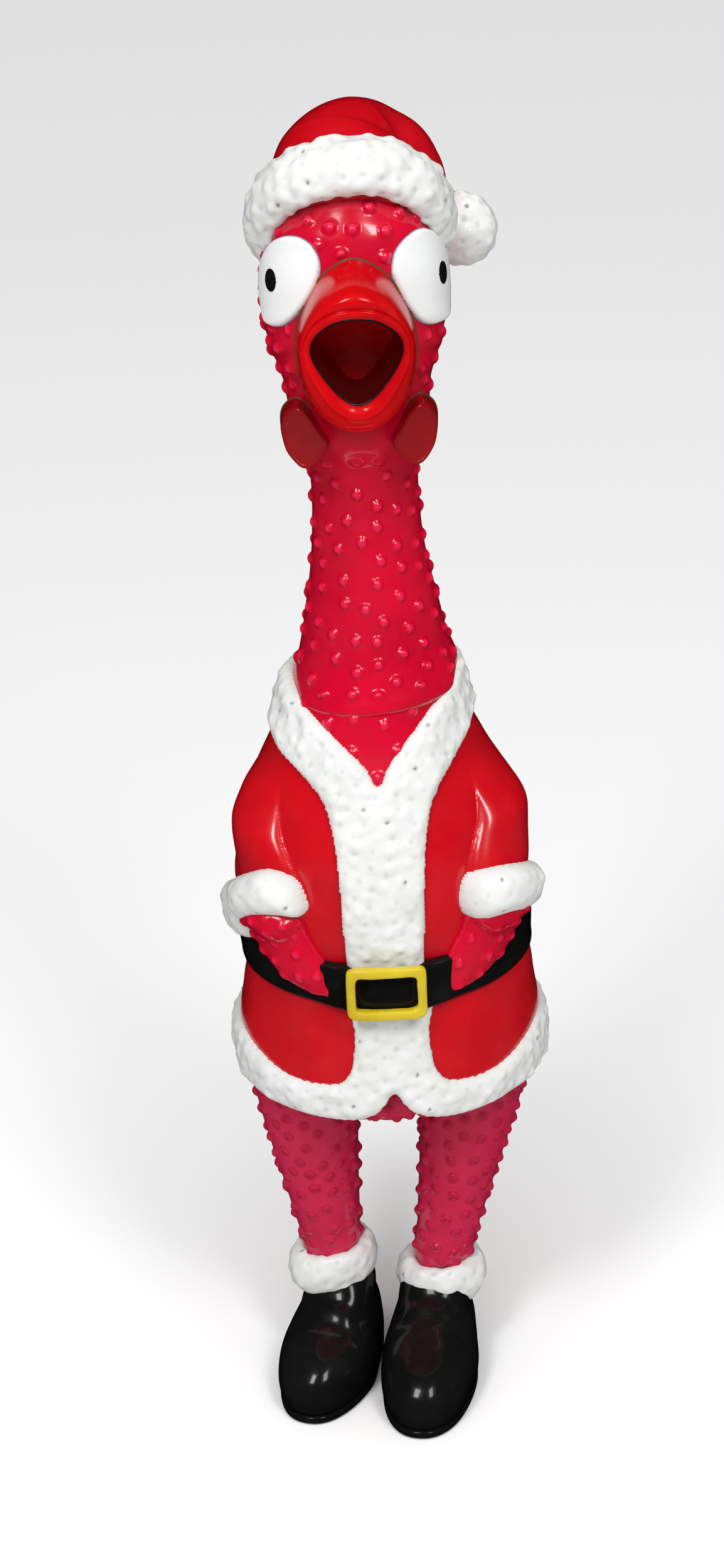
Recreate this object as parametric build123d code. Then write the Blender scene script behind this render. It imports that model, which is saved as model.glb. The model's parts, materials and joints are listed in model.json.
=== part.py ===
"""Rubber chicken in a moulded Santa suit: a hollow squeeze toy that stands on its boots.

Millimetres, +Z up.  The toy faces -Y and its left boot (as a viewer in front of it sees it) is
at -X.  The origin lies on the floor, under the middle of the toy's box.

The real skin is one soft hollow moulding.  Here it is cut into rigid sections where it bends:
each bend is a ball on one section inside the open rim of the next.
"""
from build123d import *
import math
import os

os.makedirs("parts", exist_ok=True)

# ---- driving dimensions ----------------------------------------------------------------------
WALL = 1.6  # thickness of the moulded skin
SEAT = 0.05  # gap under every trim, where the real trim is part of the skin
PLAY = 0.5  # radial gap between a ball and the rim round it

HEM_Z = 112.0  # lower edge of the coat
COAT_TOP_Z = 226.0  # where the coat meets the bare chest
# outer profile of the coat: radius, height
COAT_SIDE = [(45.0, 112), (48.0, 119), (46.0, 129), (44.0, 142), (43.6, 160), (43.0, 178),
             (40.5, 195), (35.0, 209), (30.0, 219), (26.8, 226), (24.6, 231)]

PRESS_HALF_WIDTH = 16.0  # the part of the belly that a thumb pushes in
PRESS_LOW_Z = 129.0
PRESS_HIGH_Z = 213.0
PRESS_GAP = 0.6

BELT_LOW_Z = 147.6
BELT_HIGH_Z = 161.6
BELT_THICK = 1.5
FUR_THICK = 2.6
BUCKLE_SIZE = (22.6, 16.6)
BUCKLE_HOLE = (16.6, 10.4)
BUCKLE_FRONT_Y = -50.0

NECK_BASE_Z = 236.0  # centres of the three balls of the neck
NECK_MID_Z = 270.0
NECK_TOP_Z = 309.0
NECK_BASE_BALL = 22.0
NECK_MID_BALL = 16.6
NECK_TOP_BALL = 17.0
NECK_LOWER_R = 20.2
NECK_UPPER_R = 15.2

# outer profile of the head: radius, height
HEAD_SIDE = [(19.2, 309), (21.0, 314), (23.2, 324), (24.8, 337), (25.0, 350), (23.6, 362),
             (20.0, 371), (13.0, 379)]
BRIM_Z = 369.0
BRIM_TILT = 42.0  # the hat sits on the back of the head, so its brim is high in front
BRIM_RING_R = 23.0
BRIM_HALF = (6.0, 8.2)  # half sizes of the fur roll, across and along the hat
HAT_CENTRE = (0.0, 4.0, 360.0)
HAT_RADII = (24.0, 24.0, 40.0)
POMPOM_R = 10.0
POMPOM_CENTRE = (30.0, 28.0, 359.0)
# the hat's soft tip bends over from the crown; its last point is the pompom's pivot
TAIL_POINTS = [(6, 10, 386), (18, 19, 383), (25, 23, 371)]
TAIL_RADII = [11.0, 8.0, 3.5]

BEAK_Z = 340.5
BEAK_BASE = (16.5, 23.5)  # half width and half height where the beak leaves the face
BEAK_LIP = (14.0, 18.5)
BEAK_FRONT_Y = -39.5
MOUTH_Z = 338.5
MOUTH = (12.3, 13.5)
MOUTH_BACK_Y = -8.0

WATTLE = [(16.5, 325), (21.0, 317), (15.5, 302.5), (8.0, 311)]  # x, z of one flap
WATTLE_BACK = 16.5
WATTLE_THICK = 9.5

REED_BARREL_R = 6.0
REED_BARREL_LENGTH = 17.0

HIP_X = 25.5
HIP_Z = 104.0
HIP_BALL = 15.5
ANKLE_Z = 37.0
ANKLE_BALL = 9.5
THIGH_R = 13.4
SHIN_R = 8.4
ANKLE_X = {"left": -21.0, "right": 15.5}
SIDES = {"left": -1, "right": 1}

BOOT_LENGTH = 62.0
BOOT_WIDTH = 29.0
BOOT_HEIGHT = 30.0
BOOT_MIDDLE_Y = -16.0
SOLE_THICK = 2.6
HEEL_WIDTH = 24.0
HEEL_FRONT_Y, HEEL_BACK_Y = -10.0, 21.5
HEEL_CORNER = 3.5
TOE_YAW = -10.0  # both toes point a little to -X


# ---- shared shapes -----------------------------------------------------------------------------
def turned(side, grow=0.0):
    """Solid of revolution about Z inside a smooth side, made fatter by grow."""
    points = [Vector(r + grow, 0, z) for r, z in side]
    low = Vector(0, 0, points[0].Z)
    high = Vector(0, 0, points[-1].Z)
    edges = [Line(low, points[0]), Spline(*points), Line(points[-1], high), Line(high, low)]
    return revolve(Face(Wire(edges)), Axis.Z, 360)


def ball(centre, radius):
    return Pos(*centre) * Sphere(radius)


def ellipsoid(centre, radii):
    return Pos(*centre) * scale(Sphere(1.0), by=radii)


def block(low, high):
    size = [b - a for a, b in zip(low, high)]
    middle = [(a + b) / 2 for a, b in zip(low, high)]
    return Pos(*middle) * Box(*size)


def limb(points, radii):
    """Tapered tube through the points, with a ball at each one."""
    shape = ball(points[0], radii[0])
    for start, end, r_start, r_end in zip(points, points[1:], radii, radii[1:]):
        run = Vector(*end) - Vector(*start)
        along = Plane(origin=start, z_dir=run)
        shape += along * Pos(0, 0, run.length / 2) * Cone(r_start, r_end, run.length)
        shape += ball(end, r_end)
    return shape


def oval_bar(half_x, half_z, z, y_from, y_to, end_half=None):
    """Oval bar along Y; end_half gives the half sizes at y_to when it tapers."""
    end_x, end_z = end_half or (half_x, half_z)
    first = Plane(origin=(0, y_from, z), x_dir=(1, 0, 0), z_dir=(0, -1, 0)) * Ellipse(half_x, half_z)
    last = Plane(origin=(0, y_to, z), x_dir=(1, 0, 0), z_dir=(0, -1, 0)) * Ellipse(end_x, end_z)
    return loft([first, last])


def relief(outline, proud):
    """Raised patch on the front of the coat: outline is (x, z) seen from the front."""
    face = Plane.XZ * make_face(Polyline(*outline, close=True))
    bar = extrude(face, 80)
    return bar & (turned(COAT_SIDE, proud) - turned(COAT_SIDE, SEAT))


def press_zone(gap=0.0):
    half = PRESS_HALF_WIDTH + gap
    return block((-half, -80, PRESS_LOW_Z - gap), (half, 0, PRESS_HIGH_Z + gap))


def save(name, shape):
    solids = [s for s in shape.solids() if s.volume > 0.5]
    part = Compound(children=solids) if len(solids) > 1 else solids[0]
    part.label = name
    export_step(part, f"parts/{name}.step")


parts = {}

# ---- coat, belly, belt -------------------------------------------------------------------------
coat = turned(COAT_SIDE)
coat_core = turned(COAT_SIDE, -WALL)
below_top = block((-60, -60, HEM_Z), (60, 60, COAT_TOP_Z))
skin = (coat - coat_core) & below_top
parts["coat_shell"] = skin - press_zone(PRESS_GAP)
parts["belly_panel"] = skin & press_zone()

fur_layer = turned(COAT_SIDE, SEAT + FUR_THICK) - turned(COAT_SIDE, SEAT)
parts["front_placket"] = fur_layer & block((-12.2, -80, PRESS_LOW_Z), (12.2, 0, PRESS_HIGH_Z))

belt_slab = block((-60, -60, BELT_LOW_Z), (60, 60, BELT_HIGH_Z))
belt_layer = turned(COAT_SIDE, SEAT + BELT_THICK) - turned(COAT_SIDE, SEAT)
parts["belt_back"] = (belt_layer & belt_slab) - press_zone(PRESS_GAP)
over_fur = 2 * SEAT + FUR_THICK
front_layer = turned(COAT_SIDE, over_fur + BELT_THICK) - turned(COAT_SIDE, over_fur)
parts["belt_front"] = front_layer & belt_slab & press_zone()

buckle_z = (BELT_LOW_Z + BELT_HIGH_Z) / 2
frame = Box(BUCKLE_SIZE[0], 8, BUCKLE_SIZE[1]) - Box(BUCKLE_HOLE[0], 8, BUCKLE_HOLE[1])
frame = Pos(0, BUCKLE_FRONT_Y + 4, buckle_z) * frame
parts["buckle"] = frame - turned(COAT_SIDE, over_fur + BELT_THICK + SEAT)

# ---- fur hem, collar, chest --------------------------------------------------------------------
hem_roll = Plane.XZ * Pos(46.0, 118.5) * Ellipse(4.0, 7.5)
parts["hem_trim"] = revolve(hem_roll, Axis.Z, 360) - coat - turned(COAT_SIDE, SEAT)

neck_cup = ball((0, 0, NECK_BASE_Z), NECK_BASE_BALL + PLAY + WALL)
neck_cup &= block((-40, -40, 200), (40, 40, NECK_BASE_Z - 3.5))
chest_cone = turned([(26.6, COAT_TOP_Z + SEAT), (25.4, 229.3), (23.4, NECK_BASE_Z - 3.5)])
air_way = Pos(0, 0, 214) * Cylinder(6, 12)
parts["chest_bib"] = neck_cup + chest_cone - ball((0, 0, NECK_BASE_Z), NECK_BASE_BALL + PLAY) - air_way

collar_roll = Plane.XZ * Pos(31.5, 222.5) * Ellipse(5.6, 9.0)
collar = revolve(collar_roll, Axis.Z, 360) - turned(COAT_SIDE, SEAT)
parts["collar_trim"] = collar - press_zone(PRESS_GAP)

# ---- sleeves, cuffs, hands: raised on the front and sides of the coat ---------------------------
SLEEVE = [(26, 211), (41, 205), (50, 194), (50, 186), (36, 186), (24, 184), (22, 198)]
CUFF = [(24, 183.5), (36, 185.5), (52, 183), (52, 161), (43, 163.5), (23, 176)]
HAND = [(22.5, 175.5), (42.5, 163), (41, 154), (33, 150.2), (19, 150.2), (17.2, 158)]
RELIEFS = {"sleeve": (SLEEVE, 2.2), "cuff": (CUFF, 3.4), "hand": (HAND, 4.0)}
belt_clear = turned(COAT_SIDE, 2 * SEAT + BELT_THICK)
belt_clear &= block((-60, -60, BELT_LOW_Z - SEAT), (60, 60, BELT_HIGH_Z + SEAT))
for side, sign in SIDES.items():
    for name, (outline, proud) in RELIEFS.items():
        parts[f"{side}_{name}"] = relief([(sign * x, z) for x, z in outline], proud) - belt_clear

# ---- pelvis ------------------------------------------------------------------------------------
floor_plate = Pos(0, 0, 115.5) * Cylinder(43.6, 3.0)
crotch = ellipsoid((0, 0, 108), (11.0, 24, 15)) - ellipsoid((0, 0, 108), (9.4, 22.4, 13.4))
pelvis = floor_plate + crotch
for sign in SIDES.values():
    cap = ball((sign * HIP_X, 0, HIP_Z), HIP_BALL + PLAY + WALL)
    pelvis += cap & block((-60, -60, HIP_Z + 5), (60, 60, 140))
for sign in SIDES.values():
    pelvis -= ball((sign * HIP_X, 0, HIP_Z), HIP_BALL + PLAY)
parts["pelvis"] = pelvis

# ---- legs and boots ----------------------------------------------------------------------------
for side, sign in SIDES.items():
    hip = Vector(sign * HIP_X, 0, HIP_Z)
    ankle = Vector(ANKLE_X[side], 0, ANKLE_Z)
    run = (ankle - hip).length
    along = Plane(origin=hip, z_dir=ankle - hip)
    tube = along * Pos(0, 0, run / 2) * Cone(THIGH_R, SHIN_R, run)
    tube_core = along * Pos(0, 0, run / 2) * Cone(THIGH_R - WALL, SHIN_R - WALL, run)
    leg = ball(hip, HIP_BALL) + tube + ball(ankle, ANKLE_BALL)
    leg_core = ball(hip, HIP_BALL - WALL) + tube_core + ball(ankle, ANKLE_BALL - WALL)
    parts[f"{side}_leg"] = leg - leg_core

    place = Pos(ankle.X, 0, 0) * Rot(0, 0, TOE_YAW)
    foot_radii = (BOOT_WIDTH / 2, BOOT_LENGTH / 2, BOOT_HEIGHT / 2 + 6)
    upper = ellipsoid((0, BOOT_MIDDLE_Y, 4), foot_radii)
    upper_core = ellipsoid((0, BOOT_MIDDLE_Y, 4), tuple(r - WALL for r in foot_radii))
    counter = ellipsoid((0, 5.5, 3), (12.8, 15.8, 18))
    counter_core = ellipsoid((0, 5.5, 3), (12.8 - WALL, 15.8 - WALL, 18 - WALL))
    shaft = Pos(0, 0, ANKLE_Z / 2) * Cylinder(ANKLE_BALL + PLAY + WALL, ANKLE_Z)
    shaft_core = Pos(0, 0, ANKLE_Z / 2) * Cylinder(ANKLE_BALL + PLAY, ANKLE_Z)
    boot = (upper + counter + shaft) - (upper_core + counter_core + shaft_core)
    boot &= block((-40, -80, SOLE_THICK + SEAT), (40, 40, ANKLE_Z))
    parts[f"{side}_boot"] = place * boot

    outline = Pos(0, BOOT_MIDDLE_Y, 0) * Ellipse(BOOT_WIDTH / 2 + 0.4, BOOT_LENGTH / 2 + 0.4)
    sole = extrude(outline, SOLE_THICK) & block((-40, -80, -1), (40, HEEL_FRONT_Y - SEAT, 10))
    parts[f"{side}_sole"] = place * sole
    heel = Pos(0, (HEEL_FRONT_Y + HEEL_BACK_Y) / 2, 0) * Rectangle(HEEL_WIDTH, HEEL_BACK_Y - HEEL_FRONT_Y)
    heel = chamfer(heel.vertices().sort_by(Axis.Y)[-2:], HEEL_CORNER)
    parts[f"{side}_heel"] = place * extrude(heel, SOLE_THICK)

    fur_roll = Plane.XZ * Pos(12.2, 34.2) * Ellipse(2.7, 6.5)
    ring = revolve(fur_roll, Axis.Z, 360)
    ring -= Pos(0, 0, 18.5) * Cylinder(ANKLE_BALL + PLAY + WALL + SEAT, 37.2)
    ring -= Pos(0, 0, 0) * ellipsoid((0, BOOT_MIDDLE_Y, 4), tuple(r + SEAT for r in foot_radii))
    parts[f"{side}_boot_cuff"] = place * ring

# ---- neck --------------------------------------------------------------------------------------
base = (0, 0, NECK_BASE_Z)
mid = (0, 0, NECK_MID_Z)
top = (0, 0, NECK_TOP_Z)
lower_side = [(NECK_LOWER_R, NECK_BASE_Z + 8), (19.4, 254), (18.8, NECK_MID_Z)]
lower = ball(base, NECK_BASE_BALL) + turned(lower_side)
lower_core = ball(base, NECK_BASE_BALL - WALL) + turned(lower_side, -WALL)
parts["neck_lower"] = lower - lower_core - ball(mid, NECK_MID_BALL + PLAY) - air_way

upper_side = [(NECK_UPPER_R, NECK_MID_Z), (15.0, 282), (15.0, 296), (NECK_UPPER_R, NECK_TOP_Z)]
upper = ball(mid, NECK_MID_BALL) + turned(upper_side) + ball(top, NECK_TOP_BALL)
upper_core = (ball(mid, NECK_MID_BALL - WALL) + turned(upper_side, -WALL)
              + ball(top, NECK_TOP_BALL - WALL))
upper_ways = Pos(0, 0, 252) * Cylinder(6, 12) + Pos(0, 0, 324) * Cylinder(6, 12)
parts["neck_upper"] = upper - upper_core - upper_ways

# ---- head, beak, mouth -------------------------------------------------------------------------
head = turned(HEAD_SIDE)
head_core = turned(HEAD_SIDE, -WALL) + ball(top, NECK_TOP_BALL + PLAY)
brim_plane = Plane(origin=(0, 0, BRIM_Z), x_dir=(1, 0, 0),
                   z_dir=(0, math.sin(math.radians(BRIM_TILT)), math.cos(math.radians(BRIM_TILT))))
above_brim = brim_plane * Pos(0, 0, 60) * Box(160, 160, 120)
beak_hole = oval_bar(15.0, 21.5, BEAK_Z, 0, -60)
parts["head_shell"] = (head - head_core) - above_brim - beak_hole

beak = oval_bar(*BEAK_BASE, BEAK_Z, -8, BEAK_FRONT_Y, BEAK_LIP)
beak = fillet(beak.faces().sort_by(Axis.Y)[0].edges(), 2.5)
mouth_bar = oval_bar(*MOUTH, MOUTH_Z, -5, -60)
beak -= mouth_bar
beak -= turned(HEAD_SIDE, SEAT)
parts["beak"] = beak

lining = oval_bar(MOUTH[0] - SEAT, MOUTH[1] - SEAT, MOUTH_Z, MOUTH_BACK_Y, -33)
lining -= oval_bar(MOUTH[0] - 1.4, MOUTH[1] - 1.4, MOUTH_Z, MOUTH_BACK_Y - 1.5, -34)
lining -= Pos(0, -9, MOUTH_Z) * Rot(90, 0, 0) * Cylinder(4.6, 12)
parts["mouth_lining"] = lining

# ---- squeaker: barrel, tone board, reed and wedge behind the mouth -------------------------------
barrel_y = MOUTH_BACK_Y + SEAT
to_barrel = Plane(origin=(0, barrel_y, MOUTH_Z), x_dir=(1, 0, 0), z_dir=(0, 1, 0))
tube = Pos(0, 0, REED_BARREL_LENGTH / 2) * Cylinder(REED_BARREL_R, REED_BARREL_LENGTH)
bore = Pos(0, 0, REED_BARREL_LENGTH / 2) * Cylinder(REED_BARREL_R - 1.2, REED_BARREL_LENGTH)
parts["squeaker_barrel"] = to_barrel * (tube - bore)
board = Pos(0, 0, 8.5) * Box(8.0, 1.4, 14) & (Pos(0, 0, 8.5) * Cylinder(REED_BARREL_R - 1.25, 14))
board -= Pos(0, 0, 6.5) * Box(2.6, 3, 8)
parts["tone_board"] = to_barrel * board
reed = Pos(0, 1.2, 7.0) * Box(3.4, 0.3, 10.4)
parts["reed"] = to_barrel * reed
wedge = Pos(0, 1.95, 13.4) * Box(4.2, 2.0, 2.0) - Pos(0, 1.2, 13.4) * Box(3.7, 0.6, 2.2)
wedge &= Pos(0, 0, 8.5) * Cylinder(REED_BARREL_R - 1.25, 14)
parts["reed_wedge"] = to_barrel * wedge

# ---- eyes, wattles ------------------------------------------------------------------------------
for side, sign in SIDES.items():
    eye = ellipsoid((sign * 17.5, -18.0, 357.5), (7.2, 5.5, 11.0))
    eye = eye - turned(HEAD_SIDE, SEAT) - oval_bar(*BEAK_BASE, BEAK_Z, 0, -60)
    eye -= block((-3, -60, 330), (3, 0, 380))
    pupil = ellipsoid((sign * 21.3, -19.0, 356.0), (2.2, 5.0, 3.4))
    parts[f"{side}_pupil"] = pupil - ellipsoid((sign * 17.5, -18.0, 357.5), (7.25, 5.55, 11.05))
    parts[f"{side}_eye"] = eye
    outline = make_face(Polyline(*[(sign * x, z) for x, z in WATTLE], close=True))
    flap = extrude(Plane.XZ.offset(WATTLE_BACK) * fillet(outline.vertices(), 2.5), WATTLE_THICK)
    flap = Pos(0, 0, 323) * Rot(10, 0, 0) * Pos(0, 0, -323) * flap
    flap -= oval_bar(BEAK_BASE[0] + 1, BEAK_BASE[1] + 1, BEAK_Z, 0, -60)
    flap -= ball(top, NECK_TOP_BALL + PLAY)
    parts[f"{side}_wattle"] = flap - turned(HEAD_SIDE, SEAT)

# ---- hat ---------------------------------------------------------------------------------------
hat = ellipsoid(HAT_CENTRE, HAT_RADII)
hat_core = ellipsoid(HAT_CENTRE, tuple(r - WALL for r in HAT_RADII))
parts["hat_cap"] = (hat - hat_core) & above_brim
ring_face = Plane.XZ * Pos(BRIM_RING_R, 0) * Ellipse(*BRIM_HALF)
parts["hat_brim"] = brim_plane * revolve(ring_face, Axis.Z, 360) - hat - head

tail = limb(TAIL_POINTS, TAIL_RADII)
parts["hat_tail"] = tail - hat - ball(POMPOM_CENTRE, POMPOM_R + PLAY)
parts["pompom"] = ball(POMPOM_CENTRE, POMPOM_R)

for name, shape in parts.items():
    save(name, shape)
print(len(parts), "nodes")
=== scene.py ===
"""Looks of the rubber chicken: soft skin, moulded fur, paint and gloss round the CAD frame.

Lengths here are millimetres, turned into metres where a mesh is made.  The toy faces -Y.
"""
import json
import math

import bpy
import numpy as np
from mathutils import Matrix, Vector, noise


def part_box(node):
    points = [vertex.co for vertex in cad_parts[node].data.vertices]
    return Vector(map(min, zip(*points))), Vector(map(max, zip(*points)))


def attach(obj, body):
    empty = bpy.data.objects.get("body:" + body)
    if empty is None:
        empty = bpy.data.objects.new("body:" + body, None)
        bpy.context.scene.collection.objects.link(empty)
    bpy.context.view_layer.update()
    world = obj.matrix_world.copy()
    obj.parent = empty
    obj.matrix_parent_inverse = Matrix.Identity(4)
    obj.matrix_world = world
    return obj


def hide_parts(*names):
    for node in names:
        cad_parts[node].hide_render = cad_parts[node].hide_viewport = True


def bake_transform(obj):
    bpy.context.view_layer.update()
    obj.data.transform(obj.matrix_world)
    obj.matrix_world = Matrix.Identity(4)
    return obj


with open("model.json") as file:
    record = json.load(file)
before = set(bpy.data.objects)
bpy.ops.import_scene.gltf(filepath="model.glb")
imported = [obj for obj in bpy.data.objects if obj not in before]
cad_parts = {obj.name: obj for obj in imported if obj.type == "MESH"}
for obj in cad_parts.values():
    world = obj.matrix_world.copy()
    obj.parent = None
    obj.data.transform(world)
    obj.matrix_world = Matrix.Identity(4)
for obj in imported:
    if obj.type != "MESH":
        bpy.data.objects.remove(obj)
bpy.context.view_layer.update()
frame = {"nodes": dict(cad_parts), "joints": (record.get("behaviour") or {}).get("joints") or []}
MM = 0.001
SIDES = {"left": -1, "right": 1}


# ---- places taken from the frame ----
def corners(node):
    low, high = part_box(node)
    return np.array(low) / MM, np.array(high) / MM


PIVOT = {j["name"]: np.array(j["pos_m"]) / MM for j in frame["joints"] if "pos_m" in j}
BELT_LOW_Z, BELT_HIGH_Z = (c[2] for c in corners("belt_back"))
ANKLE_Z = PIVOT["left_ankle_flex"][2]
SOLE_TOP_Z = corners("left_sole")[1][2]
POMPOM_LOW, POMPOM_HIGH = corners("pompom")
POMPOM_CENTRE = (POMPOM_LOW + POMPOM_HIGH) / 2
POMPOM_R = (POMPOM_HIGH - POMPOM_LOW)[0] / 2
BUCKLE_LOW, BUCKLE_HIGH = corners("buckle")

DEPTH = 0.97  # the body is a little flatter than it is wide
STEP = 0.65  # spacing of the points on a round surface


# ---- numbers and curves ----
def unit(vectors):
    return vectors / np.maximum(np.linalg.norm(vectors, axis=-1, keepdims=True), 1e-9)


def smooth_step(low, high, value):
    t = np.clip((value - low) / (high - low), 0, 1)
    return t * t * (3 - 2 * t)


def circle(count):
    """Even angles all the way round, in radians."""
    return np.linspace(0, 2 * math.pi, count, endpoint=False)


def curve_point(p0, p1, p2, p3, t):
    """Point at the share t of the way from p1 to p2, on a smooth curve through all four."""
    return 0.5 * (2 * p1 + (p2 - p0) * t + (2 * p0 - 5 * p1 + 4 * p2 - p3) * t**2
                  + (3 * p1 - p0 - 3 * p2 + p3) * t**3)


def through(points, count, closed=False):
    """Evenly spaced points on a smooth curve through the given ones."""
    p = np.array(points, float)
    if closed:
        p = np.vstack([p[-1:], p, p[:2]])
    else:
        p = np.vstack([2 * p[0] - p[1], p, 2 * p[-1] - p[-2]])
    t = np.linspace(0, 1, 24, endpoint=False)[:, None]
    spans = [curve_point(*four, t) for four in zip(p, p[1:], p[2:], p[3:])]
    line = np.vstack(spans + [p[-2:-1]])
    length = np.concatenate([[0], np.cumsum(np.linalg.norm(np.diff(line, axis=0), axis=1))])
    where = np.linspace(0, length[-1], count + closed)[:count]
    return np.stack([np.interp(where, length, axis) for axis in line.T], axis=1)


def turned(x, y):
    """Degrees round from the front, alike on both sides."""
    return np.degrees(np.arctan2(np.abs(x), -y))


def nearest(points, centres):
    """Distance from each point to the nearest centre."""
    out = np.empty(len(points))
    for i in range(0, len(points), 3000):
        gap = points[i:i + 3000, None, :] - centres[None, :, :]
        out[i:i + 3000] = np.sqrt((gap**2).sum(2).min(1))
    return out


def scatter(points, spacing, seed, tries=5000):
    """Points picked at random from the given ones, no two closer than the spacing."""
    order = np.random.default_rng(seed).permutation(len(points))[:tries]
    kept = np.full((len(order), points.shape[1]), 1e9)
    count = 0
    for p in points[order]:
        if count == 0 or ((kept[:count] - p)**2).sum(1).min() > spacing**2:
            kept[count] = p
            count += 1
    return kept[:count]


def rough(points, size, seed):
    """Smooth noise in -1..1, with features of about the given size."""
    shift = Vector((seed * 7.3, seed * 3.1, seed * 5.7))
    return np.array([noise.noise(Vector(p) / size + shift) for p in points])


# ---- meshes ----
def in_scene(name, data):
    obj = bpy.data.objects.new(name, data)
    bpy.context.scene.collection.objects.link(obj)
    return obj


def make_mesh(name, points, faces, material, paint=None):
    mesh = bpy.data.meshes.new(name)
    mesh.from_pydata((np.asarray(points) * MM).tolist(), [], [tuple(f) for f in faces])
    mesh.validate()
    mesh.update()
    if paint is not None:
        mesh.attributes.new("paint", "FLOAT", "POINT").data.foreach_set(
            "value", np.asarray(paint, np.float32))
    mesh.polygons.foreach_set("use_smooth", [True] * len(mesh.polygons))
    mesh.materials.append(material)
    return in_scene(name, mesh)


def ring_quads(rows, around, closed=False):
    """Quads between rings of points; closed also joins the last ring to the first."""
    row, here = np.meshgrid(np.arange(rows - 1 + closed), np.arange(around), indexing="ij")
    beside = (here + 1) % around
    low, high = row * around, (row + 1) % rows * around
    return np.stack([low + here, low + beside, high + beside, high + here], axis=-1).reshape(-1, 4)


def tube_faces(rows, around):
    """Faces of a tube of rings, closed by one point at each end: two extra points at the end."""
    quads = ring_quads(rows, around).tolist()
    first, last = rows * around, rows * around + 1
    ring = (rows - 1) * around
    for i in range(around):
        j = (i + 1) % around
        quads.append((first, j, i))
        quads.append((last, ring + i, ring + j))
    return quads


def facing_out(points, faces):
    """The faces, turned over if they enclose a negative volume."""
    quads = np.array([f for f in faces if len(f) == 4])
    a, b, c, d = (points[quads[:, i]] - points.mean(0) for i in range(4))
    volume = (np.cross(b, c) * (a + d)).sum()
    return faces if volume > 0 else [tuple(f)[::-1] for f in faces]


def closed_tube(rings):
    """Points and faces of a tube through rings, an array of rows x around x 3."""
    rows, around, _ = rings.shape
    points = np.vstack([rings.reshape(-1, 3), rings[0].mean(0), rings[-1].mean(0)])
    return points, facing_out(points, tube_faces(rows, around))


def normals_of(points, faces):
    """Vertex normals of a mesh of quads and triangles."""
    total = np.zeros_like(points)
    for size in (3, 4):
        chosen = np.array([f for f in faces if len(f) == size], int)
        if len(chosen):
            p = points[chosen]
            normal = np.cross(p[:, 2] - p[:, 0], p[:, size - 1] - p[:, 1])
            for k in range(size):
                np.add.at(total, chosen[:, k], normal)
    return unit(total)


def dome(distance, radius, power=1.0):
    return np.clip(1 - (distance / radius)**2, 0, 1)**power


def pimpled(points, normals, keep, seed, spacing=6.0, radius=2.0, height=1.15):
    """Points with round pimples raised on them, and how far up a pimple each point is."""
    centres = scatter(points[keep > 0.5], spacing, seed)
    up = dome(nearest(points, centres), radius) * np.clip(keep, 0, 1)
    return points + normals * (up * height)[:, None], up


def furred(points, normals, keep, seed, amount=1.0):
    """Points with the lumps and dimples of moulded fur, and how much painted shade each gets: darker in
    dents and pits, a little lighter on lumps.
    """
    lumps = rough(points, 6.5, seed) + rough(points, 3.2, seed + 1) * 0.4
    where = points[keep > 0.6]
    dents = scatter(where, 4.4, seed + 2)
    dent = dome(nearest(points, dents), 1.5, 1.5)
    pit = dome(nearest(points, dents[::14]), 0.75)
    bump = dome(nearest(points, scatter(where, 4.6, seed + 3)), 2.1, 1.4)
    lift = (lumps * 0.75 - dent * 0.35 - pit * 0.35 + bump * 0.45) * keep * amount
    # paint: painted shade, strongest in the pits, weaker in the dents, a little lighter on the lumps
    return points + normals * lift[:, None], (0.3 * dent + 0.8 * pit - 0.1 * lumps) * keep


# ---- round surfaces ----
class Round:
    """A surface turned about the Z axis, with a relief of its own.

    A place on it is an angle from the front, in radians towards +X, and a distance up its side.
    Outlines are given in degrees and heights.
    """

    def __init__(self, side, girth, depth=1.0, sway=lambda z: 0 * z):
        self.line = through(side, 600)
        steps = np.linalg.norm(np.diff(self.line, axis=0), axis=1)
        self.length = np.concatenate([[0], np.cumsum(steps)])
        self.slope = unit(np.gradient(self.line, axis=0))
        self.girth, self.depth, self.sway = girth, depth, sway
        self.relief = lambda point: np.zeros(len(point))

    def up(self, z):
        return np.interp(z, self.line[:, 1], self.length)

    def height(self, up):
        return np.interp(up, self.length, self.line[:, 1])

    def bare(self, angle, up):
        r, z = (np.interp(up, self.length, axis) for axis in self.line.T)
        out = np.interp(up, self.length, self.slope[:, 1])
        rise = -np.interp(up, self.length, self.slope[:, 0])
        point = np.stack([r * np.sin(angle) + self.sway(z), -r * np.cos(angle) * self.depth, z], axis=-1)
        normal = np.stack([out * np.sin(angle) * self.depth, -out * np.cos(angle), rise], axis=-1)
        return point, unit(normal)

    def point(self, angle, up, lift=0.0):
        point, normal = self.bare(angle, up)
        return point + normal * (self.relief(point) + lift)[:, None], normal

    def outline(self, places, count, closed=True):
        flat = np.array([(math.radians(a) * self.girth, self.up(z)) for a, z in places])
        flat = through(flat, count, closed)
        return flat, self.bare(flat[:, 0] / self.girth, flat[:, 1])[0]

    def inward(self, angle, up, places, count=420):
        """Distance in from an outline's edge, negative outside it."""
        flat_line, solid_line = self.outline(places, count)
        gap = nearest(self.bare(angle, up)[0], solid_line)
        hit = inside(np.stack([angle * self.girth, up], axis=1), flat_line)
        return gap * np.where(hit, 1, -1)

    def grid(self, z_low, z_high, a_low=-180, a_high=180, step=STEP):
        """Angles, distances up, and both again for every point of their grid."""
        whole = a_high - a_low == 360
        count = int(math.radians(a_high - a_low) * self.girth / step)
        angles = np.radians(np.linspace(a_low, a_high, count, endpoint=not whole))
        ups = np.arange(self.up(z_low), self.up(z_high), step)
        angle, up = (g.ravel() for g in np.meshgrid(angles, ups))
        return angles, ups, angle, up


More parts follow.
